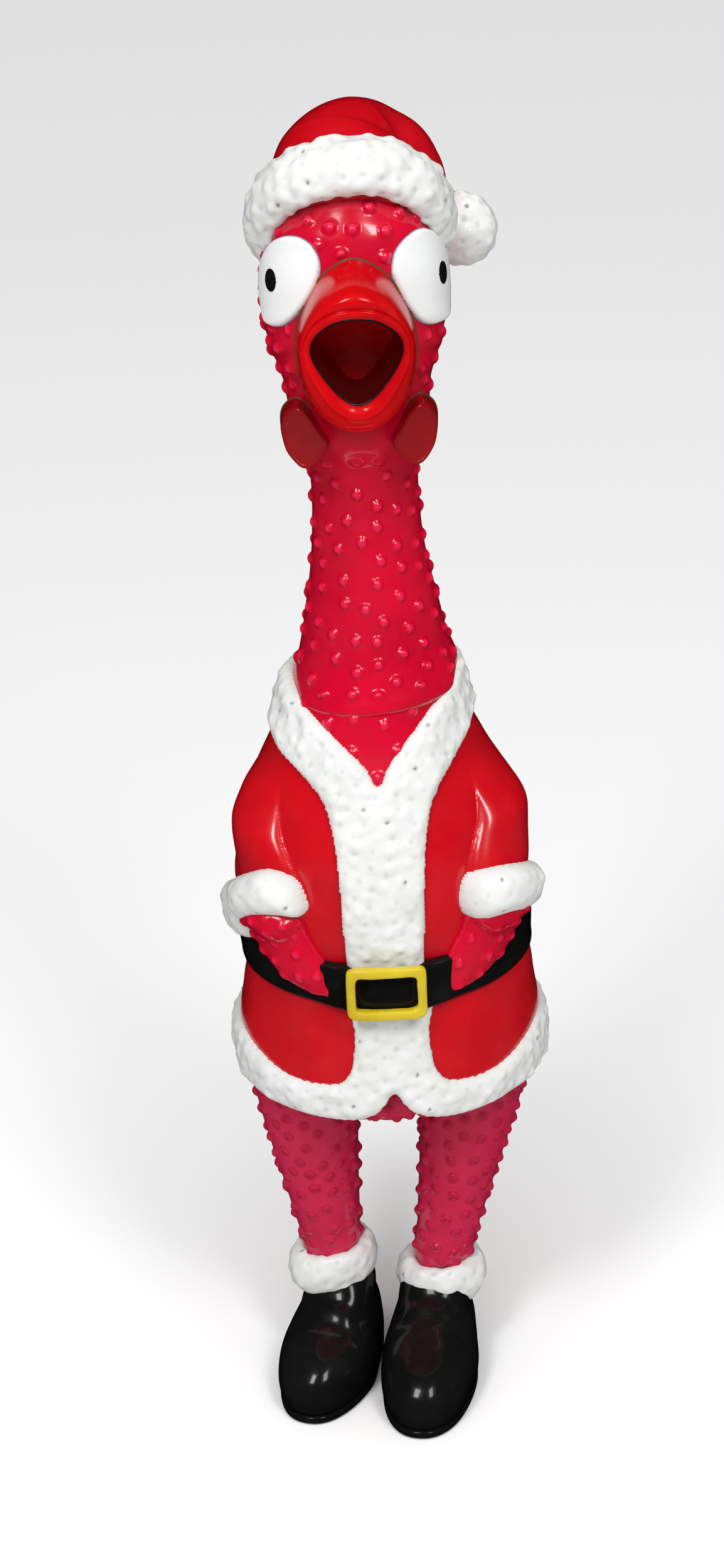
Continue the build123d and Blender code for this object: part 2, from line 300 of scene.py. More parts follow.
def inside(flat, outline):
    """Which flat points lie inside a closed flat outline."""
    x, y = flat.T
    hit = np.zeros(len(flat), bool)
    for (x0, y0), (x1, y1) in zip(outline, np.roll(outline, -1, axis=0)):
        crosses = (y0 > y) != (y1 > y)
        if crosses.any():
            hit ^= crosses & (x < (x1 - x0) * (y - y0) / (y1 - y0 + 1e-12) + x0)
    return hit


BODY_SIDE = [(42.5, 108.5), (45.4, 111), (46.2, 114), (46.4, 119), (45.6, 128), (44.2, 137), (42.9, 149),
             (42.9, 160), (43.2, 174), (42.0, 187), (39.3, 198), (35.3, 208), (31.5, 216),
             (28.6, 222), (26.5, 227.5), (25.2, 232), (24.0, 236.5), (22.6, 241), (21.2, 248)]
BODY_GIRTH, SKIN_GIRTH = 42, 20  # radii at which outlines are drawn flat
BODY = Round(BODY_SIDE, BODY_GIRTH, DEPTH, sway=lambda z: 1.1 * smooth_step(166, 148, z))

ARMS = [[(-74, 206), (-67, 198), (-60, 190), (-52, 183), (-47, 178)],
        [(76, 212), (69, 202), (62, 193), (54, 185), (49, 178)]]
ARM_LINES = [BODY.outline(path, 60, closed=False)[1] for path in ARMS]
ARM_SWELL = [4.8, 6.8]
ARM_RADIUS = 12.5
BELT_PULL, BELT_PULL_REACH = 0.7, 9


def coat_relief(point):
    """Height of the coat's own relief: upper arms, soft folds and the pull of the belt."""
    x, y, z = point.T
    arms = np.zeros(len(point))
    for line, swell in zip(ARM_LINES, ARM_SWELL):
        gap = nearest(point, line)
        arms = np.maximum(arms, swell * dome(gap, ARM_RADIUS, 0.62))
    height = arms * smooth_step(215, 195, z) * smooth_step(160, 172, z)
    folds = 0.45 * np.sin(z * 0.31 + x * 0.06) * smooth_step(18, 36, np.abs(x))
    height += folds * smooth_step(205, 195, z) * smooth_step(135, 150, z)
    height += 0.5 * rough(point, 24, 3)
    return height - BELT_PULL * np.exp(-((z - (BELT_LOW_Z + BELT_HIGH_Z) / 2) / BELT_PULL_REACH)**2)


BODY.relief = coat_relief


def patch(name, base, distance, grid, lift, material, finish=None, wrap=False, floor=-1.8):
    """Closed raised patch on a round surface where distance, given per grid point, is positive.

    The grid points just outside the outline are drawn in to it, so the edge is a clean line.
    """
    angles, ups, angle, up = grid
    rows, around = len(ups), len(angles)
    step_up, step_round = ups[1] - ups[0], angles[1] - angles[0]
    slope_up, slope_round = np.gradient(distance.reshape(rows, around), step_up, step_round)
    radius = np.hypot(*base.bare(angle, up)[0][:, :2].T)
    slope = np.stack([slope_up.ravel(), slope_round.ravel() / radius])
    pull = np.where(distance < 0, distance, 0) / np.maximum((slope**2).sum(0), 0.3) * slope
    good = distance.reshape(rows, around) > -0.8 * step_up
    cell = good[:-1] & good[1:] & np.roll(good, -1, axis=1)[:-1] & np.roll(good, -1, axis=1)[1:]
    if not wrap:
        cell[:, -1] = False
    r, c = np.nonzero(cell)
    a = r * around + c
    b = r * around + (c + 1) % around
    used, flat_quads = np.unique(np.stack([a, b, b + around, a + around], axis=1), return_inverse=True)
    quads = flat_quads.reshape(-1, 4)
    angle, up = angle[used] - (pull[1] / radius)[used], up[used] - pull[0][used]
    d = np.maximum(distance[used], 0)
    top, normal = base.point(angle, up, np.where(d > 0, lift(d), -0.05))
    paint = np.zeros(len(top))
    if finish:
        top, paint = finish(top, normal, smooth_step(0.2, 2.6, d))
    low = base.point(angle, up, floor)[0]
    count = len(used)
    edges = {(q[i], q[(i + 1) % 4]) for q in quads.tolist() for i in range(4)}
    faces = quads.tolist() + (quads[:, ::-1] + count).tolist()
    faces += [(j, i, i + count, j + count) for i, j in edges if (j, i) not in edges]
    return make_mesh(name, np.vstack([top, low]), faces, material, np.concatenate([paint, paint]))


def roll_edge(height, width):
    """Lift that rounds over from the edge to its full height."""
    return lambda d: height * np.sqrt(1 - (1 - np.clip(d / width, 0, 1))**2)


# ---- materials ----
def new_material(name, color, roughness, coat=0.0, subsurface=0.0):
    material = bpy.data.materials.new(name)
    material.use_nodes = True
    tree = material.node_tree
    shader = tree.nodes["Principled BSDF"]
    shader.inputs["Base Color"].default_value = (*color, 1)
    shader.inputs["Roughness"].default_value = roughness
    shader.inputs["Coat Weight"].default_value = coat
    shader.inputs["Coat Roughness"].default_value = 0.08
    shader.inputs["Specular IOR Level"].default_value = 0.35
    if subsurface:
        shader.inputs["Subsurface Weight"].default_value = subsurface
        shader.inputs["Subsurface Scale"].default_value = 0.003
        shader.inputs["Subsurface Radius"].default_value = (1.0, 0.4, 0.3)
    return material, tree, shader


def add(tree, kind, **values):
    node = tree.nodes.new(kind)
    for key, value in values.items():
        if key in node.inputs:
            node.inputs[key].default_value = value
        else:
            setattr(node, key, value)
    return node


def noise_value(tree, scale, detail=3.0):
    where = add(tree, "ShaderNodeTexCoord")
    texture = add(tree, "ShaderNodeTexNoise", Scale=scale, Detail=detail)
    tree.links.new(where.outputs["Object"], texture.inputs["Vector"])
    return texture.outputs["Fac"]


def ramp(tree, value, low, high, color_low, color_high):
    node = add(tree, "ShaderNodeValToRGB")
    node.color_ramp.elements[0].position = low
    node.color_ramp.elements[0].color = (*color_low, 1)
    node.color_ramp.elements[1].position = high
    node.color_ramp.elements[1].color = (*color_high, 1)
    tree.links.new(value, node.inputs["Fac"])
    return node.outputs["Color"]


def mix(tree, kind, factor, first, second):
    node = add(tree, "ShaderNodeMix", data_type="RGBA", blend_type=kind)
    for socket, value in ((node.inputs[0], factor), (node.inputs[6], first), (node.inputs[7], second)):
        if isinstance(value, bpy.types.NodeSocket):
            tree.links.new(value, socket)
        elif isinstance(value, tuple):
            socket.default_value = (*value, 1)
        else:
            socket.default_value = value
    return node.outputs[2]


def bump_by(tree, shader, value, strength, distance=0.0004):
    node = add(tree, "ShaderNodeBump", Strength=strength, Distance=distance)
    tree.links.new(value, node.inputs["Height"])
    tree.links.new(node.outputs["Normal"], shader.inputs["Normal"])


def moulded_paint(name, color, dark, light, roughness, coat, tip=None, foot=None, subsurface=0.0):
    """Glossy painted vinyl: uneven paint, orange-peel gloss, and other tones on the relief."""
    material, tree, shader = new_material(name, color, roughness, coat, subsurface)
    base = ramp(tree, noise_value(tree, 45.0, 4.0), 0.35, 0.65, dark, color)
    base = mix(tree, "MIX", ramp(tree, noise_value(tree, 160.0), 0.55, 0.75, (0, 0, 0), (0.35,) * 3),
               base, light)
    if tip or foot:
        paint = add(tree, "ShaderNodeAttribute", attribute_name="paint").outputs["Fac"]
        # tip: colour on the tops of the pimples; the face's lighter tips are partly paint rubbed thin,
        # partly painted highlight
        if tip:
            mask = ramp(tree, paint, 0.45, 1.0, (0, 0, 0), (1, 1, 1))
            base = mix(tree, "MIX", mask, base, tip)
        if foot:  # a ring of shade round each pimple
            mask = ramp(tree, paint, 0.02, 0.30, (0, 0, 0), (1, 1, 1))
            again = ramp(tree, paint, 0.30, 0.60, (1, 1, 1), (0, 0, 0))
            ring = mix(tree, "MULTIPLY", 1.0, mask, again)
            base = mix(tree, "MIX", ring, base, foot)
    tree.links.new(base, shader.inputs["Base Color"])
    wear = ramp(tree, noise_value(tree, 70.0, 5.0), 0.3, 0.8, (roughness * 0.8,) * 3,
                (roughness * 1.35,) * 3)
    tree.links.new(wear, shader.inputs["Roughness"])
    bump_by(tree, shader, noise_value(tree, 900.0, 2.0), 0.10, 0.0002)
    return material


def fur_paint(name):
    """Off-white moulded fur with painted shade in its dimples and pits."""
    material, tree, shader = new_material(name, (0.86, 0.86, 0.83), 0.42, 0.15, 0.08)
    paint = add(tree, "ShaderNodeAttribute", attribute_name="paint").outputs["Fac"]
    base = ramp(tree, noise_value(tree, 60.0, 4.0), 0.3, 0.7, (0.61, 0.62, 0.59), (0.69, 0.70, 0.68))
    # painted shade: the fur is greyed where its paint value is high, in dents and pits
    shade = ramp(tree, paint, 0.12, 1.0, (1, 1, 1), (0.30, 0.30, 0.33))
    base = mix(tree, "MULTIPLY", 1.0, base, shade)
    tree.links.new(base, shader.inputs["Base Color"])
    bump_by(tree, shader, noise_value(tree, 520.0, 3.0), 0.25, 0.0003)
    return material


def weaken_mirror(material):
    """Takes most of the sharp reflections off a paint; gives its shader."""
    shader = material.node_tree.nodes["Principled BSDF"]
    shader.inputs["Specular IOR Level"].default_value = 0.1
    return shader


COAT = moulded_paint("coat_paint", (0.52, 0.002, 0.008), (0.44, 0.001, 0.006), (0.58, 0.006, 0.014),
                     0.24, 0.55)
# skin: its lighter tip colour on the pimples is partly rubbed paint, partly painted highlight
SKIN_PAINT = moulded_paint("skin_paint", (0.56, 0.001, 0.022), (0.46, 0.0, 0.017), (0.62, 0.004, 0.034),
                           0.22, 0.55, tip=(0.70, 0.010, 0.058))
LEG_SKIN = moulded_paint("leg_paint", (0.54, 0.012, 0.062), (0.46, 0.008, 0.05), (0.60, 0.025, 0.085),
                         0.30, 0.4, tip=(0.38, 0.003, 0.03), foot=(0.42, 0.006, 0.04))
BEAK = moulded_paint("beak_paint", (0.54, 0.002, 0.004), (0.43, 0.001, 0.003), (0.60, 0.015, 0.012),
                     0.22, 0.3)
weaken_mirror(BEAK)
# painted shade: the wattles have the beak's red, painted at about half its brightness
WATTLE = moulded_paint("wattle_paint", (0.27, 0.001, 0.004), (0.23, 0.001, 0.003), (0.32, 0.004, 0.006),
                       0.32, 0.35)
# mouth lining: the real deep red paint, darkened further as painted shade of the mouth's hollow
MOUTH = moulded_paint("mouth_paint", (0.018, 0.0, 0.0), (0.014, 0.0, 0.0), (0.024, 0.0, 0.0), 0.9, 0.0)
inside_mouth = weaken_mirror(MOUTH)
inside_mouth.inputs["Emission Color"].default_value = (0.04, 0.0, 0.0, 1)  # painted glow: a faint red light of its own, so the mouth's inside reads evenly lit
inside_mouth.inputs["Emission Strength"].default_value = 1.0
OUTLINE = moulded_paint("outline_paint", (0.12, 0.055, 0.018), (0.09, 0.04, 0.015), (0.2, 0.09, 0.03),
                        0.4, 0.2)
BLACK = moulded_paint("black_paint", (0.006, 0.006, 0.006), (0.004, 0.004, 0.004), (0.012, 0.012, 0.013),
                      0.20, 0.3)
weaken_mirror(BLACK)
GOLD = moulded_paint("gold_paint", (0.62, 0.48, 0.015), (0.50, 0.36, 0.01), (0.72, 0.62, 0.05),
                     0.34, 0.4)
EYE = moulded_paint("eye_paint", (0.76, 0.77, 0.77), (0.72, 0.73, 0.72), (0.79, 0.80, 0.80),
                    0.30, 0.35)
DARK_LINE = moulded_paint("dark_line_paint", (0.02, 0.004, 0.006), (0.01, 0.002, 0.004),
                          (0.05, 0.02, 0.01), 0.4, 0.1)
EYE_LINE = moulded_paint("eye_line_paint", (0.22, 0.26, 0.40), (0.16, 0.18, 0.30), (0.3, 0.34, 0.5),
                         0.5, 0.0)
FUR = fur_paint("fur_paint")
PLASTIC = moulded_paint("squeaker_plastic", (0.75, 0.74, 0.70), (0.68, 0.67, 0.62), (0.8, 0.8, 0.78),
                        0.4, 0.1)


def give_way(obj):
    """Bakes the piece's placement into its points."""
    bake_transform(obj)


def finish_piece(obj, body=None, nodes=(), half=None):
    """Hides the CAD nodes that the piece replaces, and hangs it on the body that carries it or, for a
    piece of a half of the belly, bakes it in place.
    """
    if nodes:
        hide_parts(*nodes)
    if body:
        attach(obj, body)
    if half:
        give_way(obj)


# ---- coat ----
def coat_part(name, z_low, z_high):
    """Closed stretch of the coat; either end's height may change with the angle."""
    angles = np.linspace(-math.pi, math.pi, 420, endpoint=False)
    low, high = BODY.up(z_low(angles)), BODY.up(z_high(angles))
    share = np.linspace(0, 1, int((high.max() - low.min()) / STEP))[:, None]
    up = low + (high - low) * share
    rings = BODY.point(np.tile(angles, len(share)), up.ravel())[0].reshape(*up.shape, 3)
    within = np.array([0.94, 0.94, 1])  # the ends turn in, so that their rims stay sharp
    points, faces = closed_tube(np.concatenate([rings[:1] * within, rings, rings[-1:] * within]))
    return make_mesh(name, points, faces, COAT)


COAT_LOW_Z, COAT_TOP_Z = 110.2, 231.0
NOTCH_HEIGHT, NOTCH_DEGREES = 9.5, 6.5


def below_notch(angles):
    """The coat's lower edge, cut up into a notch in front."""
    return COAT_LOW_Z + NOTCH_HEIGHT * np.exp(-(np.degrees(angles) / NOTCH_DEGREES)**2)


coat_upper = coat_part("coat_upper", lambda a: BELT_LOW_Z + 0 * a, lambda a: COAT_TOP_Z + 0 * a)
finish_piece(coat_upper, nodes=["coat_shell", "left_sleeve", "right_sleeve"], half="upper")
coat_lower = coat_part("coat_lower", below_notch, lambda a: BELT_LOW_Z + 0 * a)
finish_piece(coat_lower, nodes=["belly_panel"], half="lower")


# ---- white fur: lapels with the front placket, then the hem ----
def mirrored(half):
    """Closed outline from the half on the +X side."""
    return half + [(-a, z) for a, z in reversed(half) if a != 0]


def fur_finish(seed, amount=1.0):
    return lambda p, n, keep: furred(p, n, keep, seed, amount)


def band(grid, outline, count, low, high):
    """Distance in from a band's edge; behind, its outline is open and it runs between two heights."""
    _, _, angle, up = grid
    z = BODY.height(up)
    behind = np.abs(angle) > math.radians(165)
    return np.where(behind, np.minimum(z - low, high - z), BODY.inward(angle, up, outline, count))


LAPEL_HALF = [(0, 213.6), (6, 218.6), (17, 223.8), (33, 229.4), (50, 234), (72, 237.8), (100, 239.8),
              (150, 240.5), (178, 240.5), (178, 228.5), (140, 227.5), (105, 225.5), (82, 222.4),
              (60, 219.0), (46, 216.4), (34, 212.6), (26, 208.4), (21, 202), (18, 194),
              (16.4, 184), (15.6, 172), (15, 158), (14.6, 143)]
LAPEL_BACK = (228.5, 241)
LAPEL_GRID_TOP_Z = 245
LAPEL_EDGE = (3.0, 3.6)  # height and width of an edge that rounds over
COLLAR_TILT = 2.0  # the collar stands higher on the right
LAPELS = [(a, z + COLLAR_TILT * math.sin(math.radians(a)) * smooth_step(205, 225, z))
          for a, z in mirrored(LAPEL_HALF)]

grid = BODY.grid(BELT_LOW_Z, LAPEL_GRID_TOP_Z)
distance = band(grid, LAPELS, 620, *LAPEL_BACK)
lapels = patch("fur_lapels", BODY, distance, grid, roll_edge(*LAPEL_EDGE), FUR, fur_finish(11), wrap=True)
finish_piece(lapels, nodes=["collar_trim", "front_placket"], half="upper")

HEM_TOP_LINE = [(14.6, 150), (14.6, 140), (15, 130), (18, 124.4), (25, 122), (42, 121.6),
                (60, 124.6), (78, 126.8), (110, 126.5), (150, 126), (179.5, 126)]
HEM_LOW_LINE = [(0, 120.5), (3.5, 116.5), (9, 112.6), (20, 110.8), (40, 110.4), (60, 110.6), (90, 111.3),
                (120, 111), (179.5, 111)]
HEM_BACK = (111, 126)
HEM_EDGE = (2.2, 3.8)
grid = BODY.grid(BODY_SIDE[0][1] + 0.3, BELT_LOW_Z + 0.01)
distance = band(grid, mirrored(HEM_LOW_LINE + HEM_TOP_LINE[::-1]), 700, *HEM_BACK)
hem = patch("fur_hem", BODY, distance, grid, roll_edge(*HEM_EDGE), FUR, fur_finish(21), wrap=True)
finish_piece(hem, nodes=["hem_trim"], half="lower")


# ---- belt and buckle ----
BELT_EDGE = (1.8, 1.8)
PLACKET_LIFT = 3.2


def over_placket(points, normals, keep):
    """Carries the belt forward over the placket."""
    turn = turned(points[:, 0], points[:, 1])
    forward = np.array([0, -1.0, 0]) * (PLACKET_LIFT * smooth_step(34, 13, turn))[:, None]
    return points + forward, np.zeros(len(points))


grid = BODY.grid(BELT_LOW_Z - 0.9, BELT_HIGH_Z + 1.5)
height = BODY.height(grid[3])
belt = patch("belt", BODY, np.minimum(height - BELT_LOW_Z, BELT_HIGH_Z - height), grid,
             roll_edge(*BELT_EDGE), BLACK, over_placket, wrap=True)
finish_piece(belt, nodes=["belt_back", "belt_front"], half="upper")


def bent_frame(size, hole, depth, back_y, bend):
    """Square frame with a rounded section, bent round the belly."""
    around, section = 200, 24
    t = circle(around)
    corner = 0.24
    square = np.stack([np.sign(w) * np.abs(w)**corner for w in (np.cos(t), np.sin(t))], axis=1)
    outer, inner = (np.array(whole) / 2 * square for whole in (size, hole))
    rings = []
    for k in circle(section):
        across = (1 - np.sign(math.cos(k)) * abs(math.cos(k))**0.6) / 2
        out = np.sign(math.sin(k)) * abs(math.sin(k))**0.6
        flat = outer + (inner - outer) * across
        rings.append(np.stack([flat[:, 0], back_y - depth * (1 + out) / 2 + bend * flat[:, 0]**2,
                               flat[:, 1]], axis=1))
    points = np.vstack(rings)
    return points, facing_out(points, ring_quads(section, around, closed=True).tolist())


BUCKLE_BARS = np.array([5.6, 6.0])  # both bars together, across and up
BUCKLE_DEPTH, BUCKLE_BACK, BUCKLE_BEND, BUCKLE_RAISE = 3.2, 3.4, 0.006, 0.9
buckle_size = (BUCKLE_HIGH - BUCKLE_LOW)[[0, 2]] + (0.7, 0.2)
points, faces = bent_frame(buckle_size, buckle_size - BUCKLE_BARS, BUCKLE_DEPTH,
                           BUCKLE_LOW[1] + BUCKLE_BACK, BUCKLE_BEND)
points[:, 2] += (BUCKLE_LOW[2] + BUCKLE_HIGH[2]) / 2 + BUCKLE_RAISE
points += 0.2 * rough(points, 3.5, 9)[:, None]
finish_piece(make_mesh("buckle_frame", points, faces, GOLD), "belly", ["buckle"])

# ---- cuffs and hands, raised on the coat ----
CUFFS = {"left": [(-30, 179.5), (-33, 185), (-38, 187.6), (-46, 188), (-58, 183.5), (-69, 178.5),
                  (-82, 173.5), (-93, 168), (-93, 160), (-84, 157), (-72, 158), (-62, 161),
                  (-57, 167), (-53, 171), (-46, 174.4), (-38, 176), (-31.5, 176)],
         "right": [(31, 180), (33, 184.5), (37.5, 186.6), (48, 186.2), (62, 182.7), (76, 177.7),
                   (86, 173.5), (93, 168), (89, 162.5), (78, 162), (70, 163.8), (62, 167),
                   (53, 170.6), (44, 172.8), (35, 172.4), (31.5, 175)]}
HANDS = {"left": [(-33, 175.5), (-30.5, 170), (-27, 165), (-23.5, 161), (-21, 155.5),
                  (-20.8, 151.4), (-23, 149.3), (-32, 150), (-43, 152.4), (-53, 157.5),
                  (-61, 163), (-65, 170), (-58, 175), (-47, 178)],
         "right": [(34, 175), (31.5, 169.5), (27.5, 164.8), (24, 160.5), (22, 155.5),
                   (21.6, 151.6), (23.6, 149.6), (32, 150), (43, 152.6), (53, 157.5),
                   (62, 163), (71, 169.5), (69, 173.5), (58, 177), (46, 178)]}


HAND_EDGE, CUFF_EDGE = (4.3, 7.2), (6.0, 6.4)
HAND_FLOOR = -2.5  # hands and cuffs reach this far into the coat
HAND_PIMPLES = {"spacing": 5.6, "radius": 2.1, "height": 1.0}
CHEST_PIMPLES = {"spacing": 7.5, "height": 0.9}


def pimple_finish(seed, pimples):
    return lambda p, n, keep: pimpled(p, n, keep, seed, **pimples)


for side, sign in SIDES.items():
    reach = sorted((sign * 10, sign * 112))
    grid = BODY.grid(146, 200, *reach)
    hand = patch(f"{side}_hand_skin", BODY, BODY.inward(*grid[2:], HANDS[side]), grid,
                 roll_edge(*HAND_EDGE), SKIN_PAINT, pimple_finish(40 + sign, HAND_PIMPLES),
                 floor=HAND_FLOOR)
    finish_piece(hand, nodes=[f"{side}_hand"], half="upper")
    cuff = patch(f"{side}_fur_cuff", BODY, BODY.inward(*grid[2:], CUFFS[side]), grid,
                 roll_edge(*CUFF_EDGE), FUR, fur_finish(50 + sign, 0.7), floor=HAND_FLOOR)
    finish_piece(cuff, nodes=[f"{side}_cuff"], half="upper")

# ---- neck and head: one skin, split only where one blend hands over to the next ----
HEAD_SHIFT = -1.0  # the head sits a little to the left of the neck
SPLIT_LOW_Z, SPLIT_HIGH_Z = 254.0, 288.0
SKIN_SIDE = [(22.5, 219), (23.4, 227), (24.2, 231), (25.6, 233), (25.8, 234.8), (24.5, 238),
             (22.7, 242.5), (21.3, 247), (20.2, 252), (19.1, 258), (17.7, 265), (16.4, 273),
             (15.6, 281), (15.2, 289),
             (15.2, 296), (15.8, 302), (17.4, 308), (19.2, 314), (20.0, 320), (20.8, 326), (23.6, 334),
             (25.2, 342), (25.3, 350), (24.8, 358), (23.2, 366), (20.2, 373), (15, 379.5), (7, 383.5),
             (1.2, 384.3)]
NECK_SHIFT = 0.8
MOUTH_ROOM = 17  # how far the face is drawn in behind the mouth
SKIN = Round(SKIN_SIDE, SKIN_GIRTH, 1.0, sway=lambda z: (HEAD_SHIFT * smooth_step(285, 330, z)
                                                 + NECK_SHIFT * smooth_step(285, 250, z)))


def face_relief(point):
    """Full throat under the beak, cheeks, and folds behind the corners of the mouth."""
    x, y, z = point.T
    turn = turned(x - SKIN.sway(z), y)
    throat = 3.6 * np.clip(np.cos(np.radians(turn)), 0, 1)**2 * np.exp(-((z - 313) / 8)**2)
    folds = 0.7 * np.sin(z * 0.75 + turn * 0.10) * np.exp(-((turn - 62) / 20)**2 - ((z - 335) / 9)**2)
    brow = 0.9 * np.exp(-((turn - 34) / 22)**2 - ((z - 369) / 3.5)**2)
    tuck = -1.6 * smooth_step(55, 85, turn) * np.exp(-((z - 232) / 5)**2)
    return throat + folds + brow + tuck


SKIN.relief = face_relief

SEAM = [(0, 363.6), (4.9, 361.8), (9.2, 358.2), (12.2, 353.4), (15.2, 346.6), (16.2, 339.3), (15.9, 331),
        (14.2, 325), (11.0, 320.2), (6.6, 317.2), (2.2, 316.2), (0, 316.1)]
LIP = [(0, 354.6), (6.4, 353.6), (11.7, 349.8), (14.2, 344.0), (13.6, 338.0), (10.9, 332.0), (7.2, 326.6),
       (3.0, 323.6), (0, 323.2)]
MOUTH_EDGE = [(0, 352.0), (5.8, 350.9), (10.6, 347.2), (12.1, 343.2), (11.2, 339.2), (8.2, 334.2),
              (4.6, 329.8), (1.8, 327.8), (0, 327.5)]
BEAK_AROUND = 220


def loop(half):
    """Even points round a mirrored outline in X and Z, the first one at the top."""
    other = [(-x, z) for x, z in reversed(half[1:-1])]
    return through(half + other, BEAK_AROUND, closed=True) + (HEAD_SHIFT, 0)


seam, lip_line, mouth_edge = loop(SEAM), loop(LIP), loop(MOUTH_EDGE)

EYES = {"left": [(-42, 368.4), (-27, 366.6), (-21, 361), (-27, 353.6), (-42, 346.4), (-56, 343.6),
                 (-69, 344), (-77, 350), (-77, 359), (-62, 366)],
        "right": [(42, 367.8), (29, 364.6), (24.5, 359), (29, 352.8), (36, 347.6), (46, 343.8),
                  (62, 342), (78, 342.6), (86, 349), (84, 358), (74, 364.4), (58, 368)]}
PUPILS = {"left": (-57.5, 356.2), "right": (66.5, 355.4)}

angles, ups, angle, up = SKIN.grid(221, 384.2, step=0.47)
bare, _ = SKIN.point(angle, up)
around = len(angles)
rows = len(ups)
points, faces = closed_tube(bare.reshape(rows, around, 3))
normals = normals_of(points, faces)[:-2]
x, y, z = bare.T
turn = turned(x - SKIN.sway(z), y)
smooth_throat = smooth_step(48, 36, turn) * smooth_step(303, 308, z) * smooth_step(330, 324, z)
keep = smooth_step(236.5, 238.5, z) * (1 - smooth_throat)
for side in SIDES:
    keep *= smooth_step(0.5, -1.5, SKIN.inward(angle, up, EYES[side], 200))
in_seam = nearest(bare[:, [0, 2]], seam) * np.where(inside(bare[:, [0, 2]], seam), 1, -1)
in_seam[y > 0] = -9
keep *= smooth_step(-0.3, -1.8, in_seam)
keep *= smooth_step(1.2, -0.6, BODY.inward(angle, BODY.up(z), LAPELS, 300))
keep *= z > 242 - 8 * np.cos(angle)
skin, skin_paint = pimpled(bare, normals, keep, 5)
skin[:, 1] += MOUTH_ROOM * smooth_step(1.5, 5.5, in_seam)
skin[:, 2] += COLLAR_TILT * x / 24 * smooth_step(252, 240, z)
skin_rings = skin.reshape(rows, around, 3)
skin_normals = normals_of(closed_tube(skin_rings)[0], faces)[:-2].reshape(rows, around, 3)
paint_rings = skin_paint.reshape(rows, around)


def skin_part(name, low, high, nodes):
    """One stretch of the skin, shaded as a part of the whole so that no seam shows."""
    level = SKIN.height(ups)
    first, last = np.searchsorted(level, (low, high))
    last = min(last, rows - 1)
    points, faces = closed_tube(skin_rings[first:last + 1])
    paint = np.append(paint_rings[first:last + 1].ravel(), (0, 0))
    obj = make_mesh(name, points, faces, SKIN_PAINT, paint)
    ends = np.array([[0, 0, -1.0], [0, 0, 1.0]])
    shading = np.vstack([skin_normals[first:last + 1].reshape(-1, 3), ends])
    obj.data.normals_split_custom_set_from_vertices(shading.tolist())
    finish_piece(obj, nodes=nodes)
    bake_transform(obj)


skin_part("neck_skin_low", 221, SPLIT_LOW_Z,
          ["neck_lower"])
skin_part("neck_skin_mid", SPLIT_LOW_Z, SPLIT_HIGH_Z,
          ["neck_upper"])
skin_part("head_skin", SPLIT_HIGH_Z, 385,
          ["head_shell"])

CHEST = mirrored([(0, 212.6), (8, 217.2), (19, 221.5), (35, 226), (54, 230), (54, 236), (0, 236)])
grid = BODY.grid(208, 238, -75, 75)
chest = patch("chest_skin", BODY, BODY.inward(*grid[2:], CHEST), grid, roll_edge(0.7, 0.9), SKIN_PAINT,
              pimple_finish(33, CHEST_PIMPLES), floor=-1.0)
finish_piece(chest, nodes=["chest_bib"], half="upper")

# ---- beak: loops from the seam on the face, over the lips and into the mouth ----
turn = circle(BEAK_AROUND)
top_share = np.clip(np.cos(turn), 0, 1)
low_share = np.clip(-np.cos(turn), 0, 1)


def face_y(xz):
    """Y of the front of the bare face behind points in X and Z."""
    r = np.interp(xz[:, 1], SKIN.line[:, 1], SKIN.line[:, 0])
    across = xz[:, 0] - HEAD_SHIFT
    place = np.stack([xz[:, 0], -np.sqrt(np.clip(r**2 - across**2, 4, None)), xz[:, 1]], axis=1)
    return place[:, 1] - face_relief(place) * 0.9


def at(xz, y):
    return np.stack([xz[:, 0], y, xz[:, 1]], axis=1)


seam_y = face_y(seam)
LIP_Y, LIP_TOP_REACH, LIP_LOW_REACH = -38.2, 4.2, 1.2
THROAT_Y = -9.6
lip_y = LIP_Y - LIP_TOP_REACH * top_share**1.5 + LIP_LOW_REACH * low_share
rows_of_beak = [at(seam, seam_y + 3.0), at(seam, seam_y - 0.2)]
for t in (0.10, 0.26, 0.42, 0.58, 0.74, 0.90):
    swell = math.sin(math.pi * t)
    xz = seam + (lip_line - seam) * t**1.1 + unit(lip_line - lip_line.mean(0)) * (0.5 * swell)
    rows_of_beak.append(at(xz, seam_y + (lip_y - seam_y) * (1 - (1 - t)**1.9) - 3.0 * swell * top_share))
for t in (0.0, 0.25, 0.5, 0.75, 1.0):
    xz = lip_line + (mouth_edge - lip_line) * (1 - math.cos(math.pi * t)) / 2
    bead = 1.7 * math.sin(math.pi * (0.2 + 0.8 * t))
    rows_of_beak.append(at(xz, lip_y - bead * (1 + 0.5 * low_share) + 1.0))
dark_from = len(rows_of_beak) - 1
for t, shrink in ((0.1, 0.99), (0.3, 0.96), (0.6, 0.9), (0.9, 0.84), (1.0, 0.7)):
    centre = mouth_edge.mean(0)
    xz = centre + (mouth_edge - centre) * shrink
    rows_of_beak.append(at(xz, (lip_y + 1) * (1 - t) + THROAT_Y * t))


def loft(rows, steps):
    """More rows between the given ones, on smooth curves."""
    p = np.array([2 * rows[0] - rows[1]] + rows + [2 * rows[-1] - rows[-2]])
    fours = zip(p, p[1:], p[2:], p[3:])
    between = [curve_point(*four, t) for four in fours for t in np.arange(steps) / steps]
    return np.array(between + [rows[-1]])


STEPS = 6  # rows between two given ones
rings = loft(rows_of_beak, STEPS)
points, faces = closed_tube(rings)
beak = make_mesh("beak_skin", points, faces, BEAK)
beak.data.materials.append(MOUTH)
dark_row = int((dark_from - 0.15) * STEPS) * BEAK_AROUND
for polygon in beak.data.polygons:
    polygon.material_index = int(min(polygon.vertices) >= dark_row)
finish_piece(beak, "head", ["beak", "mouth_lining"])


